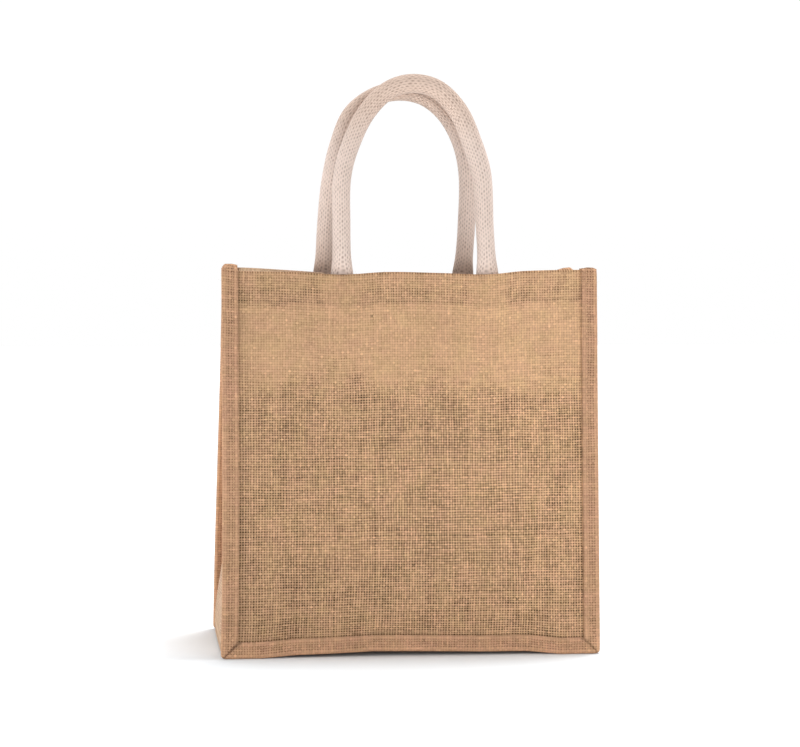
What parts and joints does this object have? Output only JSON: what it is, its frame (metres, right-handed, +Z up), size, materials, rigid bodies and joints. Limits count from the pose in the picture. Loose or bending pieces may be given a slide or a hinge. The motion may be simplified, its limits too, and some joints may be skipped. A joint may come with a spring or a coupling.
{
  "type": "jute tote bag",
  "caption": "Square shopping bag of natural jute with folding gussets, bound outside seams and rolled cotton carrying handles.",
  "frame": {"origin": "on the surface that the bag stands on, below the middle of its box", "axes": "+Z up, +X to the right as seen from the front, +Y towards the back"},
  "size_m": [0.3046, 0.1836, 0.4632],
  "materials": {
    "jute": "coarse plain-woven natural jute, matt",
    "binding": "folded strip of the same jute, matt",
    "webbing": "off-white cotton webbing, matt"
  },
  "bodies": {
    "root": {"front_panel": "jute", "back_panel": "jute", "gusset": "jute", "front_binding": "binding", "back_binding": "binding", "front_handle": "webbing", "back_handle": "webbing"}
  },
  "joints": []
}
